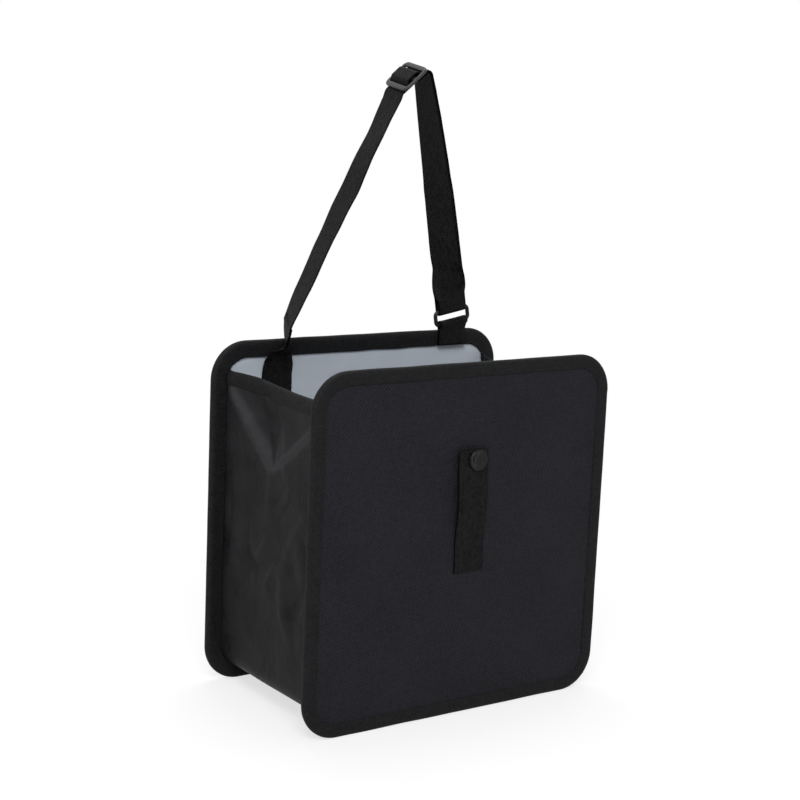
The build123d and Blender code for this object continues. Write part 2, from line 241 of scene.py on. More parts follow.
def new_piece(name, grid, cloth, material, closed_long=False, closed_round=False, caps=()):
    """A mesh from rows of points, some of them capped; cloth holds each corner's place on the flat cloth."""
    rows, columns = grid.shape[:2]
    faces, corners = [], []
    for i in range(rows if closed_long else rows - 1):
        for j in range(columns if closed_round else columns - 1):
            ring = [(i, j), (i, j + 1), (i + 1, j + 1), (i + 1, j)]
            faces.append([(a % rows) * columns + b % columns for a, b in ring])
            corners.extend(cloth[a][b] for a, b in ring)
    for row in caps:
        faces.append([(row % rows) * columns + j for j in range(columns)])
        corners.extend(cloth[row][j] for j in range(columns))
    mesh = bpy.data.meshes.new(name)
    mesh.from_pydata(grid.reshape(-1, 3).tolist(), [], faces)
    layer = mesh.uv_layers.new(name="cloth")
    layer.uv.foreach_set("vector", np.array(corners, np.float32).ravel())
    shape = bmesh.new()
    shape.from_mesh(mesh)
    bmesh.ops.recalc_face_normals(shape, faces=shape.faces)
    shape.to_mesh(mesh)
    shape.free()
    return smooth_piece(mesh, material)


def thicken(piece, thick):
    """Gives a single layer its thickness, half to each side."""
    solid = piece.modifiers.new("Thickness", "SOLIDIFY")
    solid.thickness = thick
    solid.offset = 0


def panel_sheet(node, name, material, thick, ripple, pucker, seed):
    """A sheet over a whole panel, hardly rippled, with fine puckers at its sewn edge."""
    low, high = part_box(node)
    rim, _, length = panel_ring(sheet_inset, rim_points)
    puckers = round(length / pucker_pitch)
    grid = np.zeros((rim_rings, rim_points, 3))
    for i, share in enumerate(np.linspace(1, sheet_hub, rim_rings)):
        edge = np.exp(-(1 - share) * panel_width / 2 / pucker_reach)
        for j, (x, z) in enumerate(rim * share):
            swell = uneven(x * 9, z * 30, seed) * ripple
            gather = sin(2 * pi * j / rim_points * puckers + 3 * sin(j * 0.21)) * pucker * edge
            grid[i, j] = x, (low.y + high.y) / 2 + swell + gather, z + panel_height / 2
    cloth = grid[:, list(range(rim_points)) + [0]][:, :, [0, 2]]
    sheet = new_piece(name, grid, cloth, material, closed_round=True, caps=(-1,))
    thicken(sheet, thick)
    return sheet


def film_crinkle():
    """Shader group: crinkles with sharp ridges, and the patches between them."""
    tree, given, result = new_group("Film crinkle", "Scale")
    bend = clouds(tree, given["Place"], given["Scale"], 4.0, 0.55, 0.6)
    off_ridge = maths(tree, "ABSOLUTE", maths(tree, "SUBTRACT", bend, 0.5))
    height = maths(tree, "SUBTRACT", 1.0, maths(tree, "MULTIPLY", off_ridge, 4.0))
    feed(tree, result, {"Height": height, "Tone": bend})
    return tree


def on_cloth(tree):
    """The place on the flat cloth."""
    return add(tree, "UVMap", uv_map="cloth").outputs["UV"]


def lining_film():
    """Grey film: smooth and slightly shiny, with faint crinkles and a fine pebble."""
    material, tree, shader = new_material("Lining film")
    place = on_cloth(tree)
    crinkle = use_group(tree, crinkle_group, place, 16.0)
    pebbled = relief(tree, clouds(tree, place, 900.0, 2.0), 0.00005)
    feed(tree, shader, {
        "Base Color": tint(tree, crinkle["Tone"], film_dark, film_light),
        "Roughness": maths(tree, "MULTIPLY_ADD", crinkle["Tone"], 0.25, 0.30),
        "Normal": relief(tree, crinkle["Height"], 0.0010, 0.25, pebbled),
        "Specular IOR Level": 0.35,
    })
    return material


crinkle_group = film_crinkle()
film = lining_film()
for side, seed in (("front", 3.0), ("back", 8.0)):
    name = side + "_lining"
    sheet = panel_sheet(name, name + "_film", film, film_thick, film_ripple, film_pucker, seed)
    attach(sheet, side)
    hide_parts(side + "_lining")

# Panel covers
# Heavy black oxford cloth faces the outside of each panel: a plain weave whose threads show as small cells.
# It is stretched over the board and puckers a little where the binding is sewn through it.
cover_thick = 0.0005
cover_ripple = 0.00025
cover_pucker = 0.00022
cover_dark = (0.0030, 0.0029, 0.0038)
cover_light = (0.0245, 0.0236, 0.0292)
cover_threads = 760.0


def ridges(tree, count):
    """Round ridges, one for each whole number of the count."""
    return maths(tree, "ABSOLUTE", maths(tree, "SINE", maths(tree, "MULTIPLY", count, pi)))


def speckle(tree, column, row):
    """A random tone for each cell of a weave."""
    cell = add(tree, "CombineXYZ", {"X": maths(tree, "FLOOR", column), "Y": maths(tree, "FLOOR", row)})
    return add(tree, "TexWhiteNoise", {"Vector": cell.outputs[0]}, noise_dimensions="2D").outputs["Value"]


def plain_weave():
    """Shader group: threads that pass over and under each other in turn; its tone has painted light on the
    thread tops, the warp painted lighter than the weft, and painted shade between threads.
    """
    tree, given, result = new_group("Plain weave", "Threads")
    counted = add(tree, "VectorMath", {0: given["Place"], "Scale": given["Threads"]}, operation="SCALE")
    thread = add(tree, "SeparateXYZ", {0: counted.outputs[0]}).outputs
    warp, weft = ridges(tree, thread["X"]), ridges(tree, thread["Y"])
    cell = maths(tree, "ADD", maths(tree, "FLOOR", thread["X"]), maths(tree, "FLOOR", thread["Y"]))
    over = maths(tree, "FLOORED_MODULO", cell, 2.0)
    under = maths(tree, "SUBTRACT", 1.0, over)
    warp_top = maths(tree, "MULTIPLY", warp, maths(tree, "MULTIPLY_ADD", weft, 0.45, 0.55))
    weft_top = maths(tree, "MULTIPLY", weft, maths(tree, "MULTIPLY_ADD", warp, 0.45, 0.55))
    warp_shown = maths(tree, "MULTIPLY", warp_top, over)
    weft_shown = maths(tree, "MULTIPLY", weft_top, under)
    # Painted light: warp threads on top are painted much lighter than weft threads, and the gaps between
    # threads are painted dark as shade.
    painted_thread_light = maths(tree, "MULTIPLY_ADD", weft_shown, 0.22, maths(tree, "MULTIPLY", warp_shown, 0.70))
    speckle_and_thread_shade = maths(tree, "MULTIPLY_ADD", speckle(tree, thread["X"], thread["Y"]), 0.22, painted_thread_light)
    patches = clouds(tree, given["Place"], 18.0, 3.0)
    feed(tree, result, {
        "Height": maths(tree, "ADD", warp_shown, weft_shown),
        "Tone": maths(tree, "MULTIPLY_ADD", patches, 0.30, speckle_and_thread_shade),
    })
    return tree


def woven_cloth(name, weave_group, count, dark, light, rough, sheen, depth, specular, low=0.0, high=1.0):
    """Woven cloth, with threads that are smoother on top than between."""
    material, tree, shader = new_material(name)
    weave = use_group(tree, weave_group, on_cloth(tree), count)
    feed(tree, shader, {
        # The weave's tone carries painted light on the thread tops and painted shade between them, besides
        # random speckle.
        "Base Color": tint(tree, weave["Tone"], dark, light, low, high),
        "Roughness": maths(tree, "MULTIPLY_ADD", weave["Height"], -sheen, rough),
        "Normal": relief(tree, weave["Height"], depth, 0.8),
        "Specular IOR Level": specular,
    })
    return material


weave_group = plain_weave()
oxford = woven_cloth(
    "Oxford cover", weave_group, cover_threads, cover_dark, cover_light,
    rough=0.72, sheen=0.15, depth=0.0003, specular=0.06,
)
for side, seed in (("front", 1.0), ("back", 5.0)):
    name = side + "_cover"
    sheet = panel_sheet(name, name + "_cloth", oxford, cover_thick, cover_ripple, cover_pucker, seed)
    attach(sheet, side)
    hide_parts(side + "_cover")

# Panel bindings
# Ribbed black tape, about 25 mm wide, is folded over the whole edge of each panel and sewn through once.
# It is soft and a little full, wavers slightly, and gathers into small puckers round the corners.
back_low, back_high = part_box("back_binding")
panel_thick = front_high.y - front_low.y
binding_leg = 0.012
outer_leg = 0.0098
binding_points = 420
binding_seam = 0.0080
tape_thick = 0.0008
tape_swell = 0.00022
tape_round = 0.0021
tape_fullness = 0.00016
tape_waver = 0.0006
rim_waver = 0.0003
corner_gather = 0.00038
gather_pitch = 0.0056
gather_narrowing = 1.6
cut_bulge = 0.00012
cut_bevel = 0.0003
seam_dimple = 0.00018
dimple_share = 0.86
tape_dark = (0.0018, 0.0018, 0.0020)
tape_light = (0.0155, 0.0158, 0.0169)
tape_ribs = 640.0
stitch_pitch = 0.0034
stitch_half = stitch_pitch * 0.40
stitch_profile = (-1, 0.45, -0.9), (-0.6, 0.95, 0.15), (0, 1.0, 0.35), (0.6, 0.95, 0.15), (1, 0.45, -0.9)
thread_radius = 0.00025
thread_sides = 6
thread_sink = 0.0002
thread_dark = (0.003, 0.003, 0.0035)
thread_light = (0.012, 0.012, 0.013)


def ribbed_weave():
    """Shader group: ribs across a tape, and finer cords along it; its tone has painted shade in the grooves
    between them.
    """
    tree, given, result = new_group("Ribbed tape", "Ribs")
    strand = add(tree, "SeparateXYZ", {0: given["Place"]}).outputs
    along = maths(tree, "MULTIPLY", strand["Y"], given["Ribs"])
    across = maths(tree, "MULTIPLY", strand["X"], 900.0)
    ribbed = maths(tree, "MULTIPLY", ridges(tree, along), 0.7)
    ribbed = maths(tree, "MULTIPLY_ADD", ridges(tree, across), 0.3, ribbed)
    # Painted shade: the tone follows the ribs' height, lighter on their tops and darker in the grooves, with
    # random speckle added.
    speckle_and_thread_shade = maths(tree, "MULTIPLY", ribbed, 0.35)
    speckle_and_thread_shade = maths(tree, "MULTIPLY_ADD", speckle(tree, across, along), 0.30, speckle_and_thread_shade)
    fuzz = clouds(tree, given["Place"], 120.0, 4.0)
    feed(tree, result, {"Height": ribbed, "Tone": maths(tree, "MULTIPLY_ADD", fuzz, 0.40, speckle_and_thread_shade)})
    return tree


def sewing_thread():
    """Black polyester thread, twisted, slightly shinier than the cloth."""
    material, tree, shader = new_material("Sewing thread")
    ply = clouds(tree, add(tree, "TexCoord").outputs["Object"], 1600.0, 2.0)
    feed(tree, shader, {
        "Base Color": tint(tree, ply, thread_dark, thread_light),
        "Roughness": maths(tree, "MULTIPLY_ADD", ply, 0.3, 0.40),
        "Normal": relief(tree, ply, 0.0001),
        "Specular IOR Level": 0.10,
    })
    return material


def stitches(name, places):
    """Sewn stitches: each place is a middle, the way that the thread runs, and the way out of the cloth."""
    points, faces = [], []
    for middle, along, out in places:
        along, out = Vector(along).normalized(), Vector(out).normalized()
        beside = along.cross(out)
        start = len(points)
        for step, fat, rise in stitch_profile:
            heart = Vector(middle) + along * (stitch_half * step) + out * (thread_radius * rise)
            for k in range(thread_sides):
                turn = 2 * pi * k / thread_sides
                points.append(heart + (beside * cos(turn) + out * sin(turn)) * (thread_radius * fat))
        last = len(points) - thread_sides
        for ring in range(start, last, thread_sides):
            for k in range(thread_sides):
                a, b = ring + k, ring + (k + 1) % thread_sides
                faces.append((a, b, b + thread_sides, a + thread_sides))
        faces.append(tuple(range(start + thread_sides - 1, start - 1, -1)))
        faces.append(tuple(range(last, len(points))))
    mesh = bpy.data.meshes.new(name)
    mesh.from_pydata(points, [], faces)
    return smooth_piece(mesh, black_thread)


def folded_half(leg, thick):
    """Half of a tape folded over an edge: distance in from the edge and distance from the panel's face."""
    half = [(leg, tape_thick), (leg + cut_bulge, tape_thick * 0.55), (leg - cut_bevel, tape_thick * 0.12)]
    half += [(leg * 0.93, 0.0), (binding_seam, seam_dimple)]
    half.append((binding_seam * dimple_share, -tape_swell * 0.4))
    for share in (0.72, 0.57, 0.43, 0.32):
        half.append((binding_seam * share, -tape_swell * sin(pi * share / dimple_share)))
    for turn in np.radians((10, 28, 46, 64, 82)):
        half.append((tape_round * (1 - sin(turn)), (1 - cos(turn)) * thick / 2 * 0.82))
    return half


def folded_section(leg, far_leg, thick):
    """Section of a tape folded over an edge, with one leg on each face."""
    far = [(n, thick - d) for n, d in reversed(folded_half(far_leg, thick))]
    inside = [(tape_thick, thick - tape_thick), (tape_thick, tape_thick)]
    return np.array(folded_half(leg, thick) + far + inside)


def tape_places(section, along):
    """Places on the flat tape: round its section, and along it."""
    cloth = np.zeros((len(along), len(section) + 1, 2))
    cloth[:, :, 0] = walk(*np.vstack([section, section[:1]]).T)
    cloth[:, :, 1] = along[:, None]
    return cloth


def panel_binding(side, face_y, inward):
    """Tape round the edge of one panel, with its stitching on both faces."""
    section = folded_section(outer_leg, binding_leg, panel_thick)
    rim, way, length = panel_ring(0.0, binding_points)
    along = np.arange(binding_points + 1) / binding_points * length
    grid = np.zeros((binding_points, len(section), 3))
    for i in range(binding_points):
        walked = along[i]
        cornering = max(0.0, 1 - gather_narrowing * abs(abs(way[i][0]) - abs(way[i][1])))
        waver = uneven(walked * 50, 2.0, 7.0 * inward) * tape_waver
        gather = sin(2 * pi * walked / gather_pitch + 2 * sin(walked * 300)) * corner_gather * cornering
        full = uneven(walked * 26, 9.0, 3.0 * inward) * tape_fullness
        rim_shift = uneven(walked * 34, 5.0, 4.0 * inward) * rim_waver
        for j, (n, d) in enumerate(section):
            share = n / binding_leg
            in_plane = rim[i] - way[i] * (n + waver * share**3 + rim_shift * (1 - min(share, 1.0)))
            lift = (gather * (0.25 + 0.75 * share) + full) * (1 if d > panel_thick / 2 else -1)
            grid[i, j] = in_plane[0], face_y + inward * (d + lift), in_plane[1] + panel_height / 2
    cloth = tape_places(section, along)
    tape = new_piece(side + "_binding_tape", grid, cloth, tape_cloth, closed_long=True, closed_round=True)
    seam_length = panel_ring(binding_seam, 4)[2]
    seam, way, _ = panel_ring(binding_seam, round(seam_length / stitch_pitch))
    places = []
    for face, out in ((face_y, -inward), (face_y + inward * panel_thick, inward)):
        for (x, z), (a, b) in zip(seam, way):
            places.append(((x, face - out * thread_sink, z + panel_height / 2), (-b, 0, a), (0, out, 0)))
    return tape, stitches(side + "_binding_stitches", places)


tape_cloth = woven_cloth(
    "Binding tape", ribbed_weave(), tape_ribs, tape_dark, tape_light,
    rough=0.70, sheen=0.20, depth=0.00022, specular=0.06,
)
black_thread = sewing_thread()
for side, face_y, inward in (("front", front_low.y, 1), ("back", back_high.y, -1)):
    tape, thread = panel_binding(side, face_y, inward)
    for piece in (tape, thread):
        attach(piece, side)
    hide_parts(side + "_binding")

# Gusset
# One strip of thin black coated nylon forms the left side, the bottom and the right side.
# Each side tucks in at the top along two creases that meet at a point, and is crumpled below them.
gusset_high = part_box("gusset")[1]
front_inner = front_high.y
back_inner = back_low.y
gusset_depth = back_inner - front_inner
gusset_middle = (front_inner + back_inner) / 2
wall_inset = 0.0116
gusset_thick = 0.0004
gusset_rows = 400
gusset_columns = 84
gusset_dark = (0.0060, 0.0060, 0.0066)
gusset_light = (0.0290, 0.0290, 0.0310)
fold_in = 0.0110
fold_shares = (0.0, 0.10, 0.35, 0.70, 1.0), (0.0, 0.22, 0.62, 0.95, 0.80)
fold_top = gusset_high.z - 0.0092
fold_bottom = 0.171
fold_lean = 0.30
fold_soft = 0.05
fold_soft_growth = 0.22
ridge_round = 0.012
front_ridge = (0.014, 0.0016)
back_ridge = (0.06, 0.0018)
ridge_start = 0.2
ridge_end = 1.3
ridge_fade = 0.5
wall_swell = 0.0017
wall_swell_top = 0.225
wall_swell_fade = 0.06
wall_held = 0.010
bottom_bend = 0.03
bottom_ripple = 0.0014
bottom_held = 0.015
seam_overlap = 0.00015
mouth_sag = 0.0026
sag_from = 0.15
sag_lean = 0.75
sag_round = 0.7
crumple_count = 20
crumple_margin = 0.014
crumple_heights = (0.020, 0.105, 0.175)
crumple_halves = (0.014, 0.040)
crumple_widths = (0.0040, 0.0090)
crumple_rise = 0.0018
crumple_turn = (pi / 2, 0.6)
crease_curl = 3.0
crease_hollow = 0.55
# Painted marks on the gusset: the crease marks are partly coating wear and partly a painted highlight along
# the ridges; the tuck is painted lighter all over as painted light.
crease_mark_bend = 0.0007
crease_mark_below = 0.25
tuck_painted_light = 0.20
crease_mark_walls_from = (0.035, 0.020)
crease_mark_folds_from = (0.150, 0.030)
tuck_painted_light_from = (0.166, 0.022)

# The creases that show best: depth, height, direction, half length, width and rise.
placed_creases = [
    (front_inner + 0.007, 0.110, 1.62, 0.085, 0.0016, -0.0008),
    (front_inner + 0.014, 0.085, 1.50, 0.050, 0.0022, -0.0005),
    (back_inner - 0.010, 0.130, 1.60, 0.060, 0.0026, 0.0010),
    (gusset_middle - 0.010, 0.186, 1.15, 0.022, 0.0026, -0.0015),
    (gusset_middle - 0.003, 0.182, 1.35, 0.018, 0.0022, -0.0010),
    (gusset_middle + 0.003, 0.150, 1.57, 0.026, 0.0050, -0.0016),
    (gusset_middle - 0.014, 0.158, 2.25, 0.016, 0.0028, 0.0016),
    (gusset_middle - 0.022, 0.150, 2.25, 0.015, 0.0026, 0.0014),
    (gusset_middle + 0.020, 0.098, 0.85, 0.030, 0.0040, 0.0018),
    (gusset_middle + 0.010, 0.112, 2.20, 0.016, 0.0016, -0.0014),
    (gusset_middle - 0.002, 0.096, 1.95, 0.020, 0.0020, -0.0013),
    (gusset_middle - 0.012, 0.085, 1.75, 0.022, 0.0018, 0.0012),
    (back_inner - 0.009, 0.030, 1.20, 0.012, 0.0024, 0.0020),
]


def smooth(share):
    """Smooth step from 0 to 1."""
    share = np.clip(share, 0, 1)
    return share * share * (3 - 2 * share)


def rising(value, start, reach):
    """Smooth step from 0 at a start to 1 a reach further on."""
    return smooth((value - start) / reach)


def soft_abs(value, rounding):
    """The absolute value, with its corner rounded."""
    return np.hypot(value, rounding) - rounding


def between_panels(y, reach):
    """1 between the panels, falling to 0 at their seams."""
    return smooth((y - front_inner) / reach) * smooth((back_inner - y) / reach)


def crumples(seed):
    """Creases of one wall: those of crumpled cloth, then the placed ones."""
    draw = np.random.RandomState(seed)
    found = []
    for _ in range(crumple_count):
        y = draw.uniform(front_inner + crumple_margin, back_inner - crumple_margin)
        z = draw.triangular(*crumple_heights)
        turn = draw.normal(*crumple_turn)
        half, width = draw.uniform(*crumple_halves), draw.uniform(*crumple_widths)
        found.append((y, z, turn, half, width, draw.normal(0, crumple_rise)))
    return found + placed_creases


def wall_push(y, z, creases, seed):
    """How far a side wall stands in from its flat shape at depth y and height z."""
    place = (y - front_inner) / gusset_depth
    up = np.clip((z - fold_bottom) / (fold_top - fold_bottom), 0, 1)
    valley = 0.5 + fold_lean * up
    front_slope = (place - 0.5 + up / 2) / np.maximum(valley - 0.5 + up / 2, 0.001)
    back_slope = (0.5 + up / 2 - place) / np.maximum(0.5 + up / 2 - valley, 0.001)
    valley_soft = fold_soft + fold_soft_growth * up**2
    nearer = (front_slope + back_slope - np.hypot(front_slope - back_slope, valley_soft)) / 2
    folded = np.clip((nearer + np.hypot(nearer, fold_soft)) / 2, 0, 1)
    push = fold_in * np.interp(up, *fold_shares) * folded
    shown = smooth(up / ridge_start) * smooth((ridge_end - up) / ridge_fade)
    for slope, (reach, height) in ((front_slope, front_ridge), (back_slope, back_ridge)):
        push -= height * np.exp(-soft_abs(slope * up, ridge_round) / reach) * shown
    for cy, cz, turn, half, width, height in creases:
        along = (y - cy) * np.cos(turn) + (z - cz) * np.sin(turn)
        curl = crease_curl * along**2 * np.sign(height)
        aside = soft_abs((z - cz) * np.cos(turn) - (y - cy) * np.sin(turn) + curl, 0.5 * width)
        run = smooth(1.15 - np.abs(along) / half)
        push += height * run * (np.exp(-aside / width) - crease_hollow * np.exp(-aside / (3 * width)))
    swell = np.vectorize(uneven)(y * 26, z * 17, seed)
    push += wall_swell * swell * smooth((wall_swell_top - z) / wall_swell_fade)
    corner = panel_corner - wall_inset
    above = np.clip(z - (panel_height - panel_corner), 0, corner * 0.9)
    return push * between_panels(y, wall_held) + corner - np.sqrt(corner**2 - above**2)


def mouth_drop(y):
    """How far the soft top edge sags between the panels, a little more near the front."""
    share = np.clip((y - front_inner) / gusset_depth, 0, 1)
    return mouth_sag * np.sin(pi * share**sag_lean) ** sag_round


def gusset_grid(inset):
    """The gusset's surface from mouth to mouth, its places on the flat cloth, and its length."""
    reach, corner, top = panel_width / 2 - inset, panel_corner - inset, gusset_high.z
    bend = np.radians(np.linspace(0, 90, 19))
    x = np.concatenate([[-reach], -reach + corner * (1 - np.cos(bend))])
    z = np.concatenate([[top], inset + corner * (1 - np.sin(bend))])
    x, z = np.concatenate([x, -x[::-1]]), np.concatenate([z, z[::-1]])
    walked = walk(x, z)
    at = np.linspace(0, walked[-1], gusset_rows)
    x, z = np.interp(at, walked, x), np.interp(at, walked, z)
    y = np.linspace(front_inner - seam_overlap, back_inner + seam_overlap, gusset_columns)
    depth, height = np.meshgrid(y, z)
    side = np.where(x < 0, -1.0, 1.0)[:, None]
    left_push, right_push = (wall_push(depth, height, *wall) for wall in walls)
    push = np.where(side < 0, left_push, right_push)
    upright = rising(height, inset, bottom_bend)
    sag = mouth_drop(depth) * rising(height, sag_from, top - sag_from)
    ripple = np.vectorize(uneven)(x[:, None] * 30, depth * 22, 6.0) * between_panels(depth, bottom_held)
    lifted = height - sag + bottom_ripple * ripple * (1 - upright)
    grid = np.stack([x[:, None] - side * push * upright, depth, lifted], 2)
    return grid, np.stack([depth, at[:, None] + 0 * depth], 2), walked[-1]


def coated_nylon():
    """Thin nylon with a coating: fine weave, sharp little creases painted paler as wear and as a painted
    highlight, a tuck painted lighter as painted light, and a dull shine.
    """
    material, tree, shader = new_material("Coated nylon")
    place = on_cloth(tree)
    crease_wear_and_highlight = add(tree, "Attribute", attribute_name="crease_wear_and_highlight").outputs["Fac"]
    weave = use_group(tree, weave_group, place, 2600.0)
    crinkle = use_group(tree, crinkle_group, place, 30.0)
    fine = relief(tree, weave["Height"], 0.00006, 0.6)
    tone = maths(tree, "MULTIPLY_ADD", crinkle["Tone"], 0.9, -0.2)
    feed(tree, shader, {
        # Painted light: the crease marks and the tuck are painted paler through this attribute.
        "Base Color": tint(tree, maths(tree, "MULTIPLY_ADD", crease_wear_and_highlight, 0.7, tone), gusset_dark, gusset_light),
        "Roughness": maths(tree, "MULTIPLY_ADD", crinkle["Tone"], 0.24, 0.34),
        "Normal": relief(tree, crinkle["Height"], 0.0016, 0.45, fine),
        "Specular IOR Level": 0.035,
    })
    return material


def paint_crease_wear_and_light(piece, grid):
    """Marks from 0 to 1 that are painted paler: along sharp creases, partly coating wear and partly a
    painted highlight on the ridges, and, lightly, all over the tuck as painted light.
    """
    out, height = np.abs(grid[:, :, 0]), grid[:, :, 2]
    sharp = np.zeros(out.shape)
    for axis in (0, 1):
        for reach in (1, 2):
            before, after = np.roll(out, reach, axis), np.roll(out, -reach, axis)
            sharp += np.clip(2 * out - before - after, 0, None) / reach
    sharp[:, :3] = sharp[:, -3:] = 0
    sharp[:3] = sharp[-3:] = 0
    for axis in (0, 1, 0, 1, 0, 1):
        sharp = (np.roll(sharp, 1, axis) + 2 * sharp + np.roll(sharp, -1, axis)) / 4
    # Painted light: the crease marks fade in up the walls and grow stronger in the folds, and the whole tuck
    # is painted lighter.
    upright = rising(height, *crease_mark_walls_from)
    folded = crease_mark_below + (1 - crease_mark_below) * rising(height, *crease_mark_folds_from)
    tuck_lit = tuck_painted_light * rising(height, *tuck_painted_light_from)
    crease_wear_and_highlight = np.clip(sharp * upright * folded / crease_mark_bend + tuck_lit, 0, 1)
    marks = piece.data.color_attributes.new("crease_wear_and_highlight", "FLOAT_COLOR", "POINT")
    marks.data.foreach_set("color", np.repeat(crease_wear_and_highlight.ravel(), 4).astype(np.float32))


# The creases of the left and the right wall, each with the seed of its unevenness.
walls = (crumples(21), 4.0), (crumples(57), 11.0)
grid, cloth, gusset_length = gusset_grid(wall_inset)
gusset = new_piece("gusset_cloth", grid, cloth, coated_nylon())
paint_crease_wear_and_light(gusset, grid)
thicken(gusset, gusset_thick)
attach(gusset, "back")
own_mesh(gusset)
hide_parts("gusset")

# Gusset lining
# The same grey film lines the gusset. It follows the black cloth's folds just inside it
# and is sewn in at the same seams.
lining_gap = 0.0013
grid, cloth, lining_length = gusset_grid(wall_inset + lining_gap)
gusset_film = new_piece("gusset_lining_film", grid, cloth, film)
thicken(gusset_film, film_thick)
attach(gusset_film, "back")
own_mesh(gusset_film)
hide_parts("gusset_lining")

# Mouth hems
# Tape is folded over the top edge of both cloths on each side and sewn through, like the panel bindings.
# The hems are soft: they follow the tuck and sag a little between the panels.
hem_low, hem_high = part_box("left_hem")
hem_height = 0.010
hem_stations = 90
hem_threads = (-0.00095, 1), (0.00185, -1)

# The folded tape's section, inwards and up: outer leg, fold, inner leg, and back along the cloth between.
hem_section = np.array([
    (-0.00085, -0.0100), (-0.00108, -0.0097), (-0.00112, -0.0088), (-0.00092, -0.0079), (-0.00115, -0.0068),
    (-0.00122, -0.0045), (-0.00110, -0.0022), (-0.00085, -0.0010), (-0.00035, -0.0003), (0.00045, 0.0),
    (0.00125, -0.0003), (0.00175, -0.0010), (0.00200, -0.0022), (0.00212, -0.0045), (0.00205, -0.0068),
    (0.00182, -0.0079), (0.00202, -0.0088), (0.00198, -0.0097), (0.00170, -0.0100),
    (0.00140, -0.0100), (0.00130, -0.0012), (-0.00040, -0.0012), (-0.00050, -0.0100),
])
hem_seam_point = 3
hem_seam = hem_section[hem_seam_point, 1]


def hem(name, side, wall):
    """One hem along the mouth; side is -1 on the left and 1 on the right."""
    y = np.linspace(hem_low.y, hem_high.y, hem_stations)
    push = np.stack([wall_push(y, np.full_like(y, hem_high.z + up), *wall) for _, up in hem_section], 1)
    drop = mouth_drop(y)
    wall_x = panel_width / 2 - wall_inset
    grid = np.zeros((hem_stations, len(hem_section), 3))
    for i in range(hem_stations):
        waver = uneven(y[i] * 60, wall[1], 1.0) * tape_waver
        for j, (inwards, up) in enumerate(hem_section):
            shift = waver * -up / hem_height
            aside = wall_x - push[i, j] - inwards - shift
            grid[i, j] = side * aside, y[i], hem_high.z - drop[i] + up + shift
    cloth = tape_places(hem_section, y)
    tape = new_piece(name + "_tape", grid, cloth, tape_cloth, closed_round=True, caps=(0, -1))
    places = []
    for i in range(1, round((hem_high.y - hem_low.y) / stitch_pitch)):
        at = hem_low.y + i * stitch_pitch
        seat = wall_x - np.interp(at, y, push[:, hem_seam_point])
        height = hem_high.z - np.interp(at, y, drop) + hem_seam
        for inwards, out in hem_threads:
            places.append(((side * (seat - inwards), at, height), (0, 1, 0), (side * out, 0, 0)))
    return tape, stitches(name + "_stitches", places)


for name, side, wall in (("left_hem", -1, walls[0]), ("right_hem", 1, walls[1])):
    tape, thread = hem(name, side, wall)
    for piece in (tape, thread):
        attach(piece, "back")
        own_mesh(piece)
    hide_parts(name)

# Front tab
# A length of 25 mm webbing is sewn flat to the front cover at its lower end, with a box of stitches.
# Its upper end stands out a little over the snap that holds it.
tab_low, tab_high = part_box("front_tab")
tab_x = (tab_low.x + tab_high.x) / 2
tab_length = tab_high.z - tab_low.z
tab_sewn = 0.018
tab_flat = 0.022
tab_bow = 0.0014
tab_slant = 0.0026
tab_stations = 60
tab_box = (0.019, 0.012)
tab_box_rise = 0.009
tab_box_shift = tab_slant * 0.9
tab_end_seams = (-0.0098, -0.0066)
tab_end_stitches = 4
tab_end_drop = 0.0030
webbing_width = 0.025
webbing_thick = 0.0013
webbing_waver = 0.012
webbing_edge = 0.22
webbing_face = 0.5
edge_swell = 0.06
webbing_dark = (0.0006, 0.0006, 0.0007)
webbing_light = (0.0104, 0.0104, 0.0109)
webbing_ribs = 470.0
# The painted shade along the webbing's edges darkens fully towards this distance from its middle.
painted_edge_shade_limit = 0.0126
gather_narrow = 0.45
gather_fatten = 1.4
upward = Vector((0, 0, 1))
forward = Vector((0, -1, 0))


def herringbone():
    """Shader group: slanting ribs that zigzag over the cords; its tone has painted shade in the grooves and
    painted shade along the edges of the webbing.
    """
    tree, given, result = new_group("Webbing weave", "Ribs")
    strand = add(tree, "SeparateXYZ", {0: given["Place"]}).outputs
    zigzag = maths(tree, "PINGPONG", maths(tree, "MULTIPLY", strand["X"], 400.0), 1.0)
    slant = maths(tree, "MULTIPLY_ADD", strand["Y"], given["Ribs"], zigzag)
    cords = maths(tree, "MULTIPLY", strand["X"], 800.0)
    laid = maths(tree, "MULTIPLY", ridges(tree, cords), 0.35)
    laid = maths(tree, "MULTIPLY_ADD", ridges(tree, slant), 0.65, laid)
    # Painted shade: the tone follows the height of the ribs and cords, darker in the grooves, with random
    # speckle and patches added.
    tone_with_rib_shade = maths(tree, "MULTIPLY", laid, 0.55)
    tone_with_rib_shade = maths(tree, "MULTIPLY_ADD", speckle(tree, cords, slant), 0.40, tone_with_rib_shade)
    tone_with_rib_shade = maths(tree, "MULTIPLY_ADD", clouds(tree, given["Place"], 90.0, 4.0), 0.25, tone_with_rib_shade)
    # Painted shade: the last millimetre at each edge of the webbing is painted dark, standing in for the
    # shade in the gap beside the tab.
    from_edge = maths(tree, "SUBTRACT", painted_edge_shade_limit, maths(tree, "ABSOLUTE", strand["X"]))
    painted_edge_shade = maths(tree, "SMOOTH_MIN", maths(tree, "MULTIPLY", from_edge, 900.0), 1.0, 0.2)
    feed(tree, result, {"Height": laid, "Tone": maths(tree, "MULTIPLY", tone_with_rib_shade, painted_edge_shade)})
    return tree


def square_to(ahead, across):
    """The part of a direction that is square to the way ahead."""
    return (across - ahead * across.dot(ahead)).normalized()


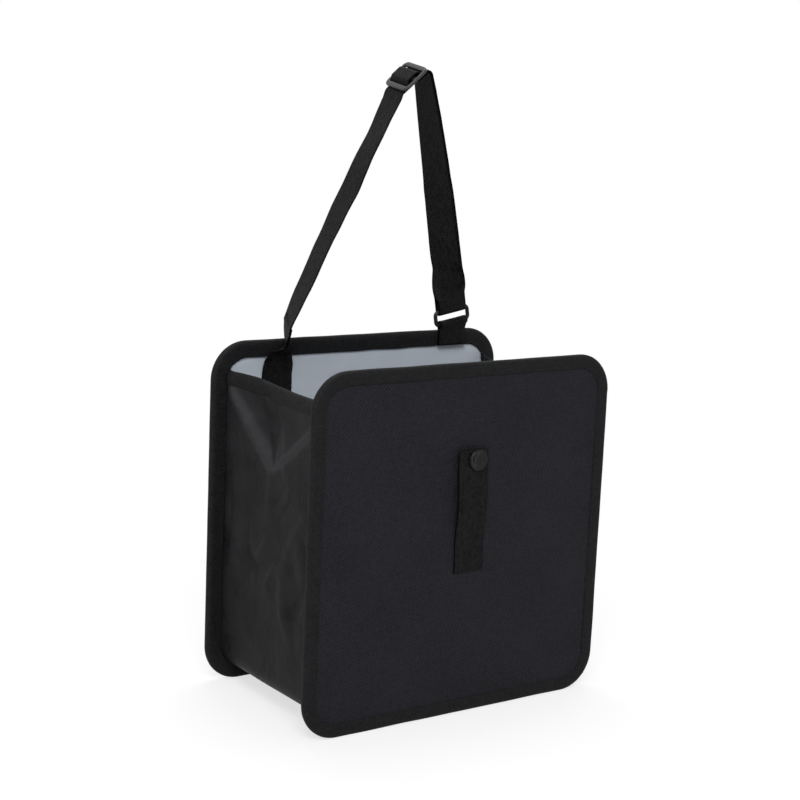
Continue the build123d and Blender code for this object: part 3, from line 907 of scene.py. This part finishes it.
def webbing(name, centres, acrosses, start=0.0, thick=webbing_thick, gathers=None):
    """A length of webbing along its centre line, with rounded edges; gathers narrow it and thicken it."""
    turns = np.radians(np.arange(0, 360, 12.0))
    flat = np.sign(np.cos(turns)) * np.abs(np.cos(turns)) ** webbing_edge
    fat = np.sign(np.sin(turns)) * np.abs(np.sin(turns)) ** webbing_face
    fat *= 1 - edge_swell + edge_swell * flat**4
    grid = np.zeros((len(centres), len(turns), 3))
    cloth = np.zeros((len(centres), len(turns) + 1, 2))
    walked = start
    for i, (centre, across) in enumerate(zip(centres, acrosses)):
        before, after = centres[max(i - 1, 0)], centres[min(i + 1, len(centres) - 1)]
        ahead = (after - before).normalized()
        across = square_to(ahead, across)
        out = across.cross(ahead)
        if i:
            walked += (centre - centres[i - 1]).length
        gather = gathers[i] if gathers else 0
        waver = 1 + webbing_waver * uneven(walked * 90, 4.0, 2.0)
        half_width = webbing_width / 2 * waver * (1 - gather_narrow * gather)
        half_thick = thick / 2 * (1 + gather_fatten * gather)
        for j in range(len(turns)):
            grid[i, j] = centre + across * (flat[j] * half_width) + out * (fat[j] * half_thick)
        cloth[i, :, 0] = np.append(flat, flat[0]) * webbing_width / 2
        cloth[i, :, 1] = walked
    return new_piece(name, grid, cloth, webbing_cloth, closed_round=True, caps=(0, -1))


def box_stitch(middle, across, width, height):
    """Stitch places round an upright rectangle that faces the front."""
    corners = []
    for a, b in ((-1, -1), (1, -1), (1, 1), (-1, 1)):
        corners.append(Vector(middle) + across * (a * width / 2) + upward * (b * height / 2))
    places = []
    for begin, end in zip(corners, corners[1:] + corners[:1]):
        count = max(2, round((end - begin).length / stitch_pitch))
        for step in range(count):
            places.append((begin.lerp(end, (step + 0.5) / count), end - begin, forward))
    return places


webbing_cloth = woven_cloth(
    "Webbing", herringbone(), webbing_ribs, webbing_dark, webbing_light,
    rough=0.72, sheen=0.20, depth=0.0003, specular=0.05, low=0.30, high=0.85,
)
cover_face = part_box("front_cover")[0].y
sewn_face = cover_face - webbing_thick
tab_stand = sewn_face - tab_low.y
heights = np.linspace(tab_low.z, tab_high.z, tab_stations)
loose = heights - tab_low.z - tab_sewn
eased = smooth(loose / (tab_length - tab_sewn - tab_flat))
bowed = tab_bow * np.sin(pi * np.clip(loose / (tab_length - 2 * tab_sewn), 0, 1)) ** 2
centres = []
for ease, bow, z in zip(eased, bowed, heights):
    x = tab_x + tab_slant * (tab_high.z - z) / tab_length
    centres.append(Vector((x, cover_face - webbing_thick / 2 - tab_stand * ease - bow, z)))
front_tab = webbing("front_tab_webbing", centres, [Vector((1, 0, 0))] * len(centres))
box_middle = (tab_x + tab_box_shift, sewn_face, tab_low.z + tab_box_rise)
places = box_stitch(box_middle, Vector((1, 0, 0)), *tab_box)
for across in tab_end_seams:
    for k in range(tab_end_stitches):
        height = tab_high.z - tab_end_drop - k * stitch_pitch
        places.append(((tab_x + across, sewn_face - tab_stand, height), upward, forward))
tab_thread = stitches("front_tab_stitches", places)
for piece in (front_tab, tab_thread):
    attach(piece, "front")
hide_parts("front_tab")

# Snap
# A ring-spring snap in black enamelled metal. The cap on the tab is dished, with a raised round rim;
# the socket behind it grips the stud that is riveted through the front cover.
cap_low, cap_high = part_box("snap_cap")
cap_middle = (cap_low + cap_high) / 2
cap_radius = (cap_high.x - cap_low.x) / 2
cap_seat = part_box("snap_socket")[0].y - webbing_thick - 0.00005
cap_top = cap_seat - cap_low.y
cap_dish = 0.0022
cap_dish_edge = 0.70
cap_dish_full = 0.78
cap_rim = 0.0010
cap_rim_place = 0.86
cap_skirt = 0.0017
cap_skirt_foot = 0.985
cap_hub = 0.00002
cap_steps = 72
snap_dark = (0.003, 0.003, 0.0033)
snap_light = (0.009, 0.009, 0.0095)


def cap_profile():
    """Radius and height over the tab of the snap cap's outer face, from the middle to its lower edge."""
    profile = []
    for share in np.linspace(0, cap_dish_edge, 10):
        height = cap_top - cap_dish + cap_dish * (share / cap_dish_full) ** 2
        profile.append((max(cap_radius * share, cap_hub), height))
    for turn in np.radians((60, 75, 90, 105, 120, 140, 160, 178)):
        radius = cap_radius * cap_rim_place - cap_rim * cos(turn)
        profile.append((radius, cap_top - cap_rim + cap_rim * sin(turn)))
    return profile + [(cap_radius, cap_top - cap_skirt), (cap_radius * cap_skirt_foot, 0.0)]


profile = cap_profile()
grid = np.zeros((cap_steps, len(profile), 3))
for i in range(cap_steps):
    turn = 2 * pi * i / cap_steps
    for j, (radius, height) in enumerate(profile):
        grid[i, j] = cap_middle.x + radius * cos(turn), cap_seat - height, cap_middle.z + radius * sin(turn)
cloth = np.zeros((cap_steps + 1, len(profile), 2))
snap_enamel = moulded_plastic(
    "Snap enamel", snap_dark, snap_light, roughness=0.27, grain=1800.0, depth=0.00002, specular=0.17
)
snap_cap = new_piece("snap_cap_shell", grid, cloth, snap_enamel, closed_long=True)
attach(snap_cap, "front")
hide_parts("snap_cap")
for name in ("snap_socket", "snap_stud", "snap_post"):
    paint(nodes[name], snap_enamel)

# Ring tab
# A short loop of the same webbing holds the ring. It is folded round the ring's lower bar
# and sewn through the top edge of the back panel.
ring_joint = next(joint for joint in frame["joints"] if joint["name"] == "ring_swing")
ring_low = Vector(ring_joint["pos_m"])
ring_bar = Vector(ring_joint["axis"]).normalized()
loop_radius = 0.00242
loop_neck = ring_low.z - 0.0045
loop_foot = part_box("ring_tab")[0].z
loop_hem = 0.0025
loop_box = (0.019, 0.007)
loop_box_rise = 0.0085
stem_back = back_inner - webbing_thick / 2
stem_front = back_inner - webbing_thick * 1.5
stem = np.linspace(loop_foot + loop_hem, loop_neck, 8)
centres = [Vector((ring_low.x, stem_back, z)) for z in stem]
for turn in np.radians(np.linspace(-20, 200, 23)):
    centres.append(ring_low + Vector((0, cos(turn), sin(turn))) * loop_radius)
centres += [Vector((ring_low.x, stem_front, z)) for z in stem[::-1]]
ring_tab = webbing("ring_tab_webbing", centres, [ring_bar] * len(centres))
box_middle = (ring_low.x, stem_front - webbing_thick / 2, loop_foot + loop_box_rise)
ring_tab_thread = stitches("ring_tab_stitches", box_stitch(box_middle, ring_bar, *loop_box))
for piece in (ring_tab, ring_tab_thread):
    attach(piece, "back")
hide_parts("ring_tab")

# Ring
# A black rectangular ring of round bar, which links the tab to the strap and swings in the tab's loop.
# It is enamelled and slightly worn to a shine.
ring_inner_height = 0.0072
ring_inner_width = 0.027
ring_thick = 0.003
ring_corner = 0.003
ring_dark = (0.005, 0.005, 0.006)
ring_light = (0.014, 0.014, 0.015)
ring_pitch = ring_inner_height + ring_thick
ring_up = Vector((-ring_bar.z, 0, ring_bar.x))
bar_across, bar_up, facing = rounded_outline(
    (ring_inner_width + ring_thick) / 2, ring_pitch / 2, ring_corner, steps=10
)
section = np.radians(np.arange(0, 360, 18.0))
grid = np.zeros((len(facing), len(section), 3))
for i, angle in enumerate(facing):
    heart = ring_low + ring_bar * bar_across[i] + ring_up * (ring_pitch / 2 + bar_up[i])
    outward = ring_bar * cos(angle) + ring_up * sin(angle)
    for j, turn in enumerate(section):
        grid[i, j] = heart + (outward * cos(turn) + forward * sin(turn)) * (ring_thick / 2)
cloth = np.zeros((len(facing) + 1, len(section) + 1, 2))
ring_enamel = moulded_plastic(
    "Ring enamel", ring_dark, ring_light, roughness=0.40, grain=1500.0, depth=0.00003, specular=0.22
)
ring = new_piece("strap_ring_bar", grid, cloth, ring_enamel, closed_long=True, closed_round=True)
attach(ring, "ring")
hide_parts("strap_ring")

# Hanging strap
# 25 mm webbing: its tail is sewn inside the back panel at the left, it turns edge on at the panel's top,
# runs up through the slider, folds over at the peak and comes down double to the ring.
strap_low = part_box("hanging_strap")[0]
slider_low, slider_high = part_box("strap_slider")
slider_centre = (slider_low + slider_high) / 2
slider_slope = radians(44.0)
slider_turn = radians(13.0)
slider_tilt = radians(12.0)
slider_length = 0.024
slider_exit = slider_length / 2 + 0.0003
strap_under = 0.0021
layer_pitch = 0.0015
tail_x = strap_low.x + webbing_width / 2
tail_flat_top = 0.228
tail_turn_start = 0.230
lining_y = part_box("back_lining")[0].y
lift_start = panel_height - binding_leg - 0.0155
lift_reach = 0.0145
foot_height = panel_height + 0.0133
foot_pull = 0.05
foot_lean = 0.5
foot_edge = 0.97
gather_height = panel_height - 0.001
gather_reach = 0.010
left_heading = radians(63.2)
left_swing = 0.0009
left_fade = 0.02
bow_length = 0.007
slider_ease = 0.03
bar_tacks = (0.079, 0.0835)
peak_radius = 0.0034
peak_back = 0.0022
run_slack = 0.0012
run_bulge = 0.0014
run_bulge_place = 0.87
run_bulge_reach = 0.05
run_ease = 0.12
leg_height = 0.0062

# How far the strap is turned, in degrees: by height on the left, by share of the run on the right.
left_twist = (
    (0.234, 0.0), (0.240, 9.0), (0.2445, 32.0), (0.248, 52.0), (0.251, 63.0), (0.256, 70.0), (0.264, 74.0),
    (0.273, 78.0), (0.287, 82.0), (0.323, 84.0), (0.355, 90.0), (0.376, 87.0), (0.397, 84.5), (0.450, 84.0),
)
right_twist = (
    (0.0, 0.0), (0.06, 4.0), (0.18, 10.0), (0.31, 15.5), (0.44, 20.0), (0.51, 25.0), (0.70, 28.0),
    (0.84, 30.0), (0.93, 58.0), (0.98, 90.0), (1.0, 90.0),
)

rise = Vector((cos(left_heading), 0, sin(left_heading)))
ahead_level = Vector((cos(slider_turn), -sin(slider_turn), 0))
across_level = Vector((sin(slider_turn), cos(slider_turn), 0))
along = ahead_level * cos(slider_slope) + upward * sin(slider_slope)
away_level = upward * cos(slider_slope) - ahead_level * sin(slider_slope)
across_top = across_level * cos(slider_tilt) + away_level * sin(slider_tilt)
away = away_level * cos(slider_tilt) - across_level * sin(slider_tilt)
slider_entry = slider_centre - along * slider_exit - away * strap_under
peak_start = slider_centre + along * (slider_exit - peak_back) - away * strap_under
peak_centre = peak_start - away * peak_radius
peak_side = peak_start + along * peak_radius
ring_high = ring_low + ring_up * ring_pitch
run_lean = atan2((ring_high - peak_side).dot(ahead_level), (peak_side - ring_high).z)
run_down = ahead_level * sin(run_lean) - upward * cos(run_lean)
run_out = ahead_level * cos(run_lean) + upward * sin(run_lean)
run_top = peak_centre + run_out * (peak_radius - layer_pitch / 2)
leg_top = ring_high + ring_up * leg_height


def turned(place, twist):
    """How far the strap is turned at a place."""
    return radians(np.interp(place, *zip(*twist)))


def curve(begin, leave, end, arrive, pull, shares):
    """Points on a smooth curve between two places with set directions."""
    points = []
    for s in shares:
        a, b = 2 * s**3 - 3 * s**2 + 1, s**3 - 2 * s**2 + s
        points.append(begin * a + leave * (b * pull) + end * (1 - a) + arrive * ((s**3 - s**2) * pull))
    return points


def foot_gather(z):
    """How far the strap is bunched up at the panel's edge, from 0 to 1."""
    return float(np.exp(-(((z - gather_height) / gather_reach) ** 2)))


def left_run():
    """Centre line and across directions of the tail, the turn at the panel's edge and the left run."""
    bow_start = slider_entry - rise * bow_length
    foot = Vector((tail_x, stem_back - webbing_width / 2 * foot_edge, foot_height))
    tail = np.linspace(strap_low.z, tail_flat_top, 24)
    centres = []
    for z in np.concatenate([tail, np.linspace(tail_turn_start, foot_height, 44)]):
        turn = turned(z, left_twist)
        lift = rising(z, lift_start, lift_reach)
        seat = lining_y - webbing_thick / 2 + (back_inner - lining_y) * lift
        bunch = gather_narrow * foot_gather(z)
        aside = tail_x + webbing_width / 2 * bunch * cos(turn)
        centres.append(Vector((aside, seat - webbing_width / 2 * (1 - bunch) * sin(turn), z)))
    leave = (rise + upward * foot_lean).normalized()
    for point in curve(foot, leave, bow_start, rise, foot_pull, np.linspace(0, 1, 80)[1:]):
        walked = (point - foot).length
        fade = smooth(walked / left_fade) * smooth((bow_start - point).length / left_fade)
        swing = uneven(walked * 42, 3.0, 1.0) * left_swing * fade
        centres.append(point - rise.cross(forward) * swing)
    centres += curve(bow_start, rise, slider_entry, along, bow_length, np.linspace(0, 1, 10)[1:])
    acrosses = []
    for centre in centres:
        turn = turned(centre.z, left_twist)
        joined = rising(centre.z, slider_entry.z - slider_ease, slider_ease)
        acrosses.append(Vector((cos(turn), sin(turn), 0)) * (1 - joined) + across_top * joined)
    through = [slider_entry.lerp(peak_start, s) for s in np.linspace(0, 0.5, 7)[1:]]
    return centres + through, acrosses + [across_top] * len(through)


def peak_bend(radius):
    """Centre line of one layer over the peak, after the slider."""
    turns = np.linspace(0, slider_slope + pi / 2 - run_lean, 12)[1:]
    return [peak_centre + (away * cos(a) + along * sin(a)) * radius for a in turns]


def right_layer(side, begin):
    """One layer of the right run, from the end of its bend; the two layers part to pass the ring's bar."""
    shares = np.linspace(0, 1, 90)
    centres, acrosses = [], []
    for share in shares:
        turn = turned(share, right_twist)
        ahead = (run_down * (1 - share) - ring_up * share).normalized()
        level = Vector((-ahead.z, 0, ahead.x))
        across = square_to(ahead, -across_top * cos(turn) + level * sin(turn))
        apart = layer_pitch / 2 + (loop_radius - layer_pitch / 2) * share**3
        slack = run_slack * sin(pi * share)
        if side < 0:
            slack += run_bulge * np.exp(-((share - run_bulge_place) / run_bulge_reach) ** 2)
        spot = run_top * (1 - share) + leg_top * share
        centres.append(spot + across.cross(ahead) * (side * apart) + level * float(slack))
        acrosses.append(across)
    shift = begin - centres[0]
    eased = [float(1 - smooth(share / run_ease)) for share in shares]
    return [centre + shift * ease for centre, ease in zip(centres, eased)], acrosses


centres, acrosses = left_run()
gathers = [foot_gather(centre.z) for centre in centres]
strap_left = webbing("hanging_strap_left", centres, acrosses, gathers=gathers)
left_length = sum((b - a).length for a, b in zip(centres, centres[1:]))
from_edge = [(centre - Vector((tail_x, back_inner, panel_height))).length for centre in centres]
places = []
for reach in bar_tacks:
    index = int(np.argmin(np.abs(np.array(from_edge) - reach)))
    out = acrosses[index].cross((centres[index + 1] - centres[index - 1]).normalized())
    for way in (1, -1):
        for k in range(-3, 4):
            spot = centres[index] + acrosses[index] * (k * stitch_pitch) + out * (way * webbing_thick / 2)
            places.append((spot, acrosses[index], out * way))
strap_thread = stitches("hanging_strap_stitches", places)
for piece in (strap_left, strap_thread):
    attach(piece, "back")
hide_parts("hanging_strap")

outer_bend = peak_bend(peak_radius)
inner_bend = peak_bend(peak_radius - layer_pitch)
outer, outer_across = right_layer(1, outer_bend[-1])
inner, inner_across = right_layer(-1, inner_bend[-1])
turn_in = []
for angle in np.linspace(0, pi, 15):
    turn_in.append(ring_high - (ring_up * sin(angle) + forward * cos(angle)) * loop_radius)
quarters = (0.25, 0.5, 0.75)
legs_down = [outer[-1].lerp(turn_in[0], s) for s in quarters]
legs_up = [turn_in[-1].lerp(inner[-1], s) for s in quarters]
round_ring = legs_down + turn_in + legs_up
over_peak = [slider_entry.lerp(peak_start, s) for s in np.linspace(0.5, 1, 7)] + outer_bend[:-1]
inner_end = inner_bend[-2::-1]
for s in (0.0, 0.3, 0.6, 0.9):
    inner_end.append(peak_start.lerp(slider_centre, s) - away * (layer_pitch + strap_under * s))
centres = over_peak + outer + round_ring + inner[::-1] + inner_end
acrosses = [-across_top] * len(over_peak) + outer_across + outer_across[-1:] * len(round_ring)
acrosses += inner_across[::-1] + [-across_top] * len(inner_end)
strap_right = webbing("hanging_strap_right", centres, acrosses, left_length)
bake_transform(strap_right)

# Slider
# A three-bar slider in dark grey moulded plastic: a flat frame with rounded bars.
# The strap passes under both ends and over the middle bar.
slider_width = 0.031
slider_thick = 0.0026
slider_corner = 0.0045
slider_bevel = 0.0009
end_bar = 0.0040
centre_bar = 0.0035
slot_width = 0.0266
slot_corner = 0.0009
slot_length = slider_length / 2 - end_bar - centre_bar / 2
slot_shift = (centre_bar + slot_length) / 2
slider_dark = (0.012, 0.012, 0.013)
slider_light = (0.030, 0.030, 0.032)


def slider_loop(shape, length, width, corner, shift=0.0, steps=7):
    """Edges of a rounded rectangle in the slider's plane."""
    x, y, _ = rounded_outline(length / 2, width / 2, corner, steps)
    points = [shape.verts.new((shift + a, b, -slider_thick / 2)) for a, b in zip(x, y)]
    return [shape.edges.new(pair) for pair in zip(points, points[1:] + points[:1])]


def standing(x_way, y_way, z_way, place):
    """The matrix of something that stands at a place, from its three directions."""
    return Matrix.Translation(place) @ Matrix((x_way, y_way, z_way)).transposed().to_4x4()


shape = bmesh.new()
loops = slider_loop(shape, slider_length, slider_width, slider_corner)
for shift in (-slot_shift, slot_shift):
    loops += slider_loop(shape, slot_length, slot_width, slot_corner, shift, 4)
plate = bmesh.ops.triangle_fill(shape, use_beauty=True, edges=loops)["geom"]
plate = [f for f in plate if isinstance(f, bmesh.types.BMFace)]
raised = bmesh.ops.extrude_face_region(shape, geom=plate)["geom"]
raised = [v for v in raised if isinstance(v, bmesh.types.BMVert)]
bmesh.ops.translate(shape, vec=(0, 0, slider_thick), verts=raised)
bmesh.ops.recalc_face_normals(shape, faces=shape.faces)
rims = [
    e for e in shape.edges
    if len(e.link_faces) == 2 and abs(e.link_faces[0].normal.z - e.link_faces[1].normal.z) > 0.5
]
bmesh.ops.bevel(
    shape, geom=rims, offset=slider_bevel, segments=4, profile=0.5, affect="EDGES", clamp_overlap=True
)
shape.transform(standing(along, across_top, away, slider_centre))
mesh = bpy.data.meshes.new("strap_slider_frame")
shape.to_mesh(mesh)
shape.free()
slider_plastic = moulded_plastic(
    "Slider plastic", slider_dark, slider_light, roughness=0.44, grain=1400.0, depth=0.00006, specular=0.35
)
slider = smooth_piece(mesh, slider_plastic)
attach(slider, "slider")
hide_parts("strap_slider")

# Strap over the slider's middle bar
# The same webbing where it comes up through one slot, over the middle bar and down through the other.
# It shifts along the strap with the slider.
hump_height = slider_thick / 2 + 0.0017
hump_reach = slider_length / 2 - end_bar + 0.0008
hump_flat = 0.42
hump_thick = webbing_thick * 0.92
hump_start = 0.3
centres = []
for share in np.linspace(-1, 1, 33):
    climb = 1 - smooth((abs(share) - hump_flat) / (1 - hump_flat))
    lift = -strap_under + (hump_height + strap_under) * climb
    centres.append(slider_centre + along * (share * hump_reach) + away * float(lift))
hump = webbing("strap_over_bar", centres, [across_top] * len(centres), hump_start, hump_thick)
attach(hump, "slider")

# Stage
# A plain pale floor under soft studio light. The background is white to the camera,
# and the camera stands where the photograph was taken from.
camera_place = Vector((-0.69466, -0.97539, 0.43359))
camera_turn = radians(-35.01)
camera_height = radians(10.48)
camera_roll = radians(2.50)
camera_lens = 76.86
camera_sensor = 36.0
floor_size = 8.0
floor_grey = (0.86, 0.86, 0.86, 1)
floor_glow = 0.62
floor_glow_growth = 0.5
white = (1, 1, 1, 1)
sky_light = 0.38
sky_seen = 1.0
lamp_target = Vector((0, 0, 0.2))
scene = bpy.context.scene
scene.view_settings.view_transform = "Standard"

back_way = Vector((
    sin(camera_turn) * cos(camera_height), -cos(camera_turn) * cos(camera_height), sin(camera_height)
))
right_way = Vector((cos(camera_turn), sin(camera_turn), 0))
up_way = back_way.cross(right_way)
right_rolled = right_way * cos(camera_roll) + up_way * sin(camera_roll)
up_rolled = up_way * cos(camera_roll) - right_way * sin(camera_roll)
camera = new_object("camera", bpy.data.cameras.new("camera"))
camera.data.lens = camera_lens
camera.data.sensor_width = camera_sensor
camera.matrix_world = standing(right_rolled, up_rolled, back_way, camera_place)
scene.camera = camera


def seen_directly(tree):
    """1 for what the camera sees directly or in a gloss, 0 for the light that falls on the object."""
    path = add(tree, "LightPath").outputs
    seen = maths(tree, "MAXIMUM", path["Is Camera Ray"], path["Is Glossy Ray"])
    return maths(tree, "MAXIMUM", seen, path["Is Transmission Ray"])


world = bpy.data.worlds.new("studio")
world.use_nodes = True
scene.world = world
tree = world.node_tree
strength = maths(tree, "MULTIPLY_ADD", seen_directly(tree), sky_seen - sky_light, sky_light)
feed(tree, tree.nodes["Background"], {"Color": white, "Strength": strength})

half = floor_size / 2
floor_mesh = bpy.data.meshes.new("floor")
floor_corners = [(-half, -half, 0), (half, -half, 0), (half, half, 0), (-half, half, 0)]
floor_mesh.from_pydata(floor_corners, [], [(0, 1, 2, 3)])
floor_paint, tree, shader = new_material("Floor")
feed(tree, shader, {"Base Color": floor_grey, "Roughness": 0.8, "Specular IOR Level": 0.1})
glow = add(tree, "Emission", {"Color": white, "Strength": 1.0})
outward = add(tree, "VectorMath", {0: add(tree, "TexCoord").outputs["Object"]}, operation="LENGTH")
glowing = maths(tree, "MULTIPLY_ADD", outward.outputs["Value"], floor_glow_growth, floor_glow)
glowing = maths(tree, "MULTIPLY", seen_directly(tree), maths(tree, "MINIMUM", glowing, 1.0))
mixed = add(tree, "MixShader", {0: glowing, 1: shader.outputs["BSDF"], 2: glow.outputs["Emission"]})
feed(tree, tree.nodes["Material Output"], {"Surface": mixed.outputs["Shader"]})
floor_mesh.materials.append(floor_paint)
floor = new_object("floor", floor_mesh)


def soft_light(name, place, size, power):
    """A square soft box aimed at the object."""
    lamp = bpy.data.lights.new(name, "AREA")
    lamp.shape = "SQUARE"
    lamp.size = size
    lamp.energy = power
    box = new_object(name, lamp)
    box.location = place
    box.rotation_euler = (lamp_target - Vector(place)).to_track_quat("-Z", "Y").to_euler()


soft_light("key", place=(-1.0, -1.5, 1.8), size=1.0, power=42.0)
soft_light("side", place=(-1.9, -0.3, 1.0), size=0.7, power=6.0)
soft_light("top", place=(0.3, 0.4, 2.0), size=1.2, power=22.0)
